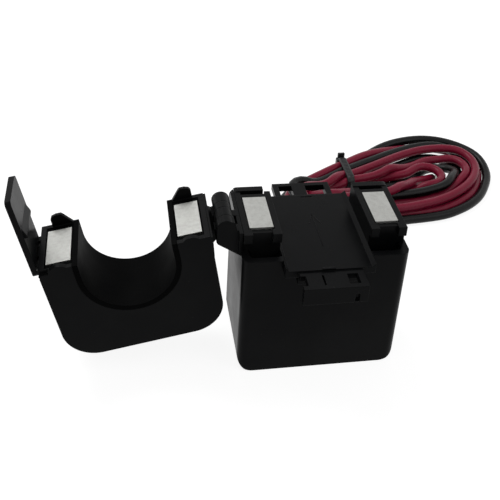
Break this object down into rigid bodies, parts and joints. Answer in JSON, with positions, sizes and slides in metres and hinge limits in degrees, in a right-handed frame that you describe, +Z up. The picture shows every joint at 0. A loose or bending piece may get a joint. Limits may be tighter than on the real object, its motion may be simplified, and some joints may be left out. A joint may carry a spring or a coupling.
{
  "type": "split-core current transformer",
  "caption": "Split-core current transformer lying open, with ground core faces, a side latch and two tied leads.",
  "frame": {"origin": "middle of the case's flat base", "axes": "+Z up out of the base towards the pole faces, +X towards the latch catch, +Y towards the leads"},
  "size_m": [0.1712, 0.1272, 0.0547],
  "materials": {
    "black_plastic": "semi-gloss moulded, very dark",
    "core_steel": "ground pole faces, fine grain",
    "pin_steel": "drawn wire",
    "bobbin_plastic": "natural nylon",
    "copper_wire": "enamelled copper",
    "tape": "polyester tape",
    "red_sleeve": "shrunk sleeve",
    "black_sleeve": "shrunk sleeve",
    "resin": "glossy cast resin",
    "foam": "closed-cell foam",
    "red_pvc": "satin PVC insulation",
    "black_pvc": "satin PVC insulation",
    "tie_nylon": "black nylon"
  },
  "bodies": {
    "case": {"body_case": "black_plastic", "core_carrier": "black_plastic", "lower_core": "core_steel", "bobbin_front": "bobbin_plastic", "bobbin_rear": "bobbin_plastic", "secondary_winding": "copper_wire", "winding_tape": "tape", "winding_tails": "copper_wire", "red_splice": "red_sleeve", "black_splice": "black_sleeve", "potting": "resin", "hinge_pin": "pin_steel", "red_lead": "red_pvc", "black_lead": "black_pvc", "lead_hank": "red_pvc", "cable_tie": "tie_nylon"},
    "cover": {"cover_shell": "black_plastic", "cover_saddle": "black_plastic", "upper_core": "core_steel", "core_pad": "foam", "latch_pin": "pin_steel"},
    "latch": {"latch": "black_plastic"}
  },
  "joints": [
    {"name": "cover_hinge", "type": "hinge", "parent": "case", "child": "cover", "pos_m": [-0.0263, 0, 0.0445], "axis": [0, 1, 0], "range_deg": [0, 191.5]},
    {"name": "latch_hinge", "type": "hinge", "parent": "cover", "child": "latch", "pos_m": [-0.07378, 0, 0.03361], "axis": [0, 1, 0], "range_deg": [-16, 1]}
  ]
}
